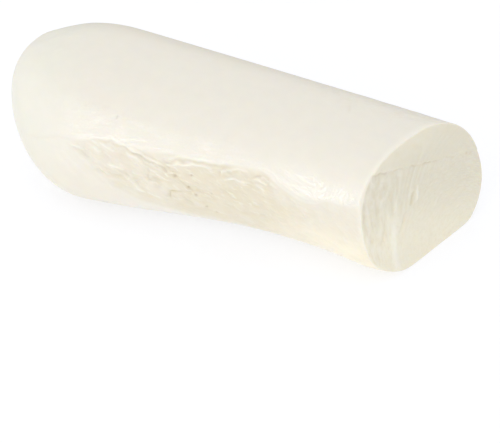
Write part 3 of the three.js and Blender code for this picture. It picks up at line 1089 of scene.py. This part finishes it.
def cheese_colour(tree, look, place):
    """Zones of the skin and the cut, painted light and painted shade on its marks, and soft mottling all
    over.
    """
    colour = mix_colours(tree, field(tree, "nose"), look.skin, look.nose)
    colour = mix_colours(tree, field(tree, "pressed"), colour, look.pressed)
    # Painted bounce light at the toe
    colour = mix_colours(tree, field(tree, "toe"), colour, look.toe)
    # Painted glints on the dashes of the patch
    dashes = between(tree, patch_dashes(tree), *DASH_GLINT_RANGE, 0.0, DASH_GLINT)
    colour = mix_colours(tree, within(tree, dashes, "fleck"), colour, look.flake)
    colour = mix_colours(tree, field(tree, "cut"), colour, cut_colour(tree, look))
    # Painted highlights on ridges, on the edge by the cut and on raised flakes
    colour = mix_colours(tree, field(tree, "flake"), colour, look.flake)
    # Painted shade in creases, dents, gouges and the crack, on the back and in the low strands
    colour = mix_colours(tree, field(tree, "cavity"), colour, look.shade_colour)
    colour = mix_colours(tree, field(tree, "pit"), colour, look.pit)
    mottle = pattern(tree, place, MOTTLE_SCALE, MOTTLE_DETAIL)
    shade = tree.nodes.new("ShaderNodeVectorMath")
    shade.operation = "SCALE"
    tree.links.new(colour, shade.inputs[0])
    tree.links.new(between(tree, mottle, *NOISE_RANGE, *MOTTLE_SHADE), shade.inputs["Scale"])
    return shade.outputs[0]


def cheese_roughness(tree, look, place):
    """Smoother where the film is moist, rougher on the cut."""
    smoothest, roughest = (look.roughness + change for change in SPECKLE_ROUGHNESS)
    skin = between(tree, pattern(tree, place, SPECKLE_SCALE), *NOISE_RANGE, smoothest, roughest)
    dry = compute(tree, "MULTIPLY", field(tree, "cut"), CUT_DRYNESS)
    moist = compute(tree, "MULTIPLY", field(tree, "film"), FILM_SMOOTHNESS)
    return compute(tree, "SUBTRACT", compute(tree, "ADD", skin, dry), moist)


def cheese_wetness(tree, look, place):
    """Weight of the moist film, which breaks into streaks, and into grains where it is thin."""
    film = field(tree, "film")
    streaks = between(tree, film_streaks(tree), *STREAK_RANGE, 1.0, 0.0)
    streaks = compute(tree, "MULTIPLY", streaks, film)
    grains = between(tree, pattern(tree, place, GRAIN_SCALE), *GRAIN_RANGE, 1.0, 0.0)
    grains = compute(tree, "MULTIPLY", grains, between(tree, film, *GRAIN_WETNESS, 1.0, 0.0))
    dry = compute(tree, "MULTIPLY", compute(tree, "MAXIMUM", streaks, grains), film)
    return between(tree, compute(tree, "SUBTRACT", film, dry), 0.0, 1.0, LEAST_WETNESS, look.moisture)


def cheese_bump(tree, place):
    """Fine relief in mm: pores, streaks of the film, dashes of the patch and threads of the cut."""
    pores = waves(tree, pattern(tree, place, PORE_SCALE), PORE_HEIGHT)
    streaks = within(tree, waves(tree, film_streaks(tree), STREAK_HEIGHT, STREAK_REACH), "film")
    dashes = within(tree, waves(tree, patch_dashes(tree), DASH_HEIGHT), "fleck")
    threads = within(tree, waves(tree, cut_threads(tree), THREAD_HEIGHT), "cut")
    on_skin = compute(tree, "ADD", compute(tree, "ADD", pores, streaks), dashes)
    height = compute(tree, "ADD", on_skin, threads)
    node = tree.nodes.new("ShaderNodeBump")
    node.inputs["Strength"].default_value = 1.0
    node.inputs["Distance"].default_value = MM
    tree.links.new(height, node.inputs["Height"])
    return node.outputs["Normal"]


def cheese_material(look):
    """Moist, faintly translucent cheese."""
    material = bpy.data.materials.new("cheese")
    material.use_nodes = True
    tree = material.node_tree
    shader = tree.nodes["Principled BSDF"]
    place = tree.nodes.new("ShaderNodeTexCoord").outputs["Object"]
    tree.links.new(cheese_colour(tree, look, place), shader.inputs["Base Color"])
    tree.links.new(cheese_roughness(tree, look, place), shader.inputs["Roughness"])
    tree.links.new(cheese_bump(tree, place), shader.inputs["Normal"])
    tree.links.new(cheese_wetness(tree, look, place), shader.inputs["Coat Weight"])
    shader.inputs["Subsurface Weight"].default_value = SCATTER_WEIGHT
    shader.inputs["Subsurface Radius"].default_value = SCATTER_TINT
    shader.inputs["Subsurface Scale"].default_value = look.scatter
    shader.inputs["Specular IOR Level"].default_value = SPECULAR
    shader.inputs["Coat Roughness"].default_value = FILM_ROUGHNESS
    return material


class MOZZARELLA_OT_loaf(bpy.types.Operator):
    """Make the loaf with its fine skin and cut face"""

    bl_idname = "mozzarella.loaf"
    bl_label = "Make Loaf"

    def execute(self, context):
        settings = context.scene
        loaf = bpy.data.objects.new("loaf_skin", loaf_mesh(settings.loaf_sizes))
        context.collection.objects.link(loaf)
        loaf.data.materials.append(cheese_material(settings.cheese_look))
        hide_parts(NODE)
        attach(loaf, BODY)
        return {"FINISHED"}


def floor_material():
    """White table that glows a little, as a table lit from below does, so that its shadow stays faint."""
    material = bpy.data.materials.new("floor_white")
    material.use_nodes = True
    shader = material.node_tree.nodes["Principled BSDF"]
    shader.inputs["Base Color"].default_value = FLOOR_COLOUR
    shader.inputs["Roughness"].default_value = FLOOR_ROUGHNESS
    shader.inputs["Specular IOR Level"].default_value = FLOOR_SPECULAR
    shader.inputs["Emission Color"].default_value = WHITE
    shader.inputs["Emission Strength"].default_value = FLOOR_GLOW
    return material


def floor_object(context):
    half = FLOOR_SIZE / 2
    corners = [(-half, -half, 0), (half, -half, 0), (half, half, 0), (-half, half, 0)]
    mesh = bpy.data.meshes.new("floor")
    mesh.from_pydata(corners, [], [(0, 1, 2, 3)])
    mesh.materials.append(floor_material())
    floor = bpy.data.objects.new("floor", mesh)
    floor.visible_glossy = False
    context.collection.objects.link(floor)
    return floor


def softbox(context, name, place, size, power):
    """A rectangular soft light that looks at the middle of the loaf."""
    light = bpy.data.lights.new(name, "AREA")
    light.shape = "RECTANGLE"
    light.size, light.size_y = size
    light.energy = power
    box = bpy.data.objects.new(name, light)
    box.location = place
    middle = (CAD_LOW + CAD_HIGH) / 2
    box.rotation_euler = (middle - Vector(place)).to_track_quat("-Z", "Y").to_euler()
    context.collection.objects.link(box)
    return box


def studio_world(strength):
    """A white dome that is dimmer low behind the loaf."""
    world = bpy.data.worlds.new("studio")
    world.use_nodes = True
    tree = world.node_tree
    background = tree.nodes["Background"]
    background.inputs["Color"].default_value = WHITE
    split = tree.nodes.new("ShaderNodeSeparateXYZ")
    tree.links.new(tree.nodes.new("ShaderNodeTexCoord").outputs["Generated"], split.inputs[0])
    behind = between(tree, split.outputs["Y"], *DIM_BEHIND, 0.0, DIM_SHARE * strength)
    low = between(tree, split.outputs["Z"], *DIM_LOW, 1.0, 0.0)
    dimmed = compute(tree, "SUBTRACT", strength, compute(tree, "MULTIPLY", behind, low))
    tree.links.new(dimmed, background.inputs["Strength"])
    return world


def studio_camera(context, settings):
    """A camera that looks down at the aim point."""
    camera = bpy.data.cameras.new("camera")
    camera.lens = settings.lens
    camera.sensor_width = SENSOR_WIDTH
    viewer = bpy.data.objects.new("camera", camera)
    back = Vector((
        math.sin(settings.azimuth) * math.cos(settings.elevation),
        -math.cos(settings.azimuth) * math.cos(settings.elevation),
        math.sin(settings.elevation)))
    viewer.location = Vector(settings.aim) + settings.distance * back
    viewer.rotation_euler = (-back).to_track_quat("-Z", "Y").to_euler()
    context.collection.objects.link(viewer)
    return viewer


class MOZZARELLA_OT_stage(bpy.types.Operator):
    """Make the floor, the soft lights and the camera"""

    bl_idname = "mozzarella.stage"
    bl_label = "Make Stage"

    def execute(self, context):
        settings = context.scene.stage_settings
        floor_object(context)
        for name, (place, size) in SOFTBOXES.items():
            box = softbox(context, name, place, size, getattr(settings, f"{name}_power"))
            box.visible_diffuse = name != GLOSS_LIGHT
        context.scene.world = studio_world(settings.surround)
        context.scene.camera = studio_camera(context, settings)
        context.scene.view_settings.view_transform = "Standard"
        return {"FINISHED"}


class MOZZARELLA_PT_panel(bpy.types.Panel):
    bl_label = "Mozzarella Loaf"
    bl_idname = "MOZZARELLA_PT_panel"
    bl_space_type = "VIEW_3D"
    bl_region_type = "UI"
    bl_category = "Mozzarella"

    def draw(self, context):
        layout = self.layout
        for operator in (MOZZARELLA_OT_loaf, MOZZARELLA_OT_stage):
            layout.operator(operator.bl_idname)
        for group in (context.scene.loaf_sizes, context.scene.cheese_look, context.scene.stage_settings):
            box = layout.box()
            for name in group.__annotations__:
                box.prop(group, name)


CLASSES = (
    LoafSizes, CheeseLook, StageSettings, MOZZARELLA_OT_loaf, MOZZARELLA_OT_stage, MOZZARELLA_PT_panel,
)
GROUPS = {"loaf_sizes": LoafSizes, "cheese_look": CheeseLook, "stage_settings": StageSettings}


def register():
    for cls in CLASSES:
        bpy.utils.register_class(cls)
    for name, group in GROUPS.items():
        setattr(bpy.types.Scene, name, PointerProperty(type=group))


def unregister():
    for name in GROUPS:
        delattr(bpy.types.Scene, name)
    for cls in reversed(CLASSES):
        bpy.utils.unregister_class(cls)


def main():
    register()
    bpy.ops.mozzarella.loaf()
    bpy.ops.mozzarella.stage()


if __name__ == "__main__":
    main()
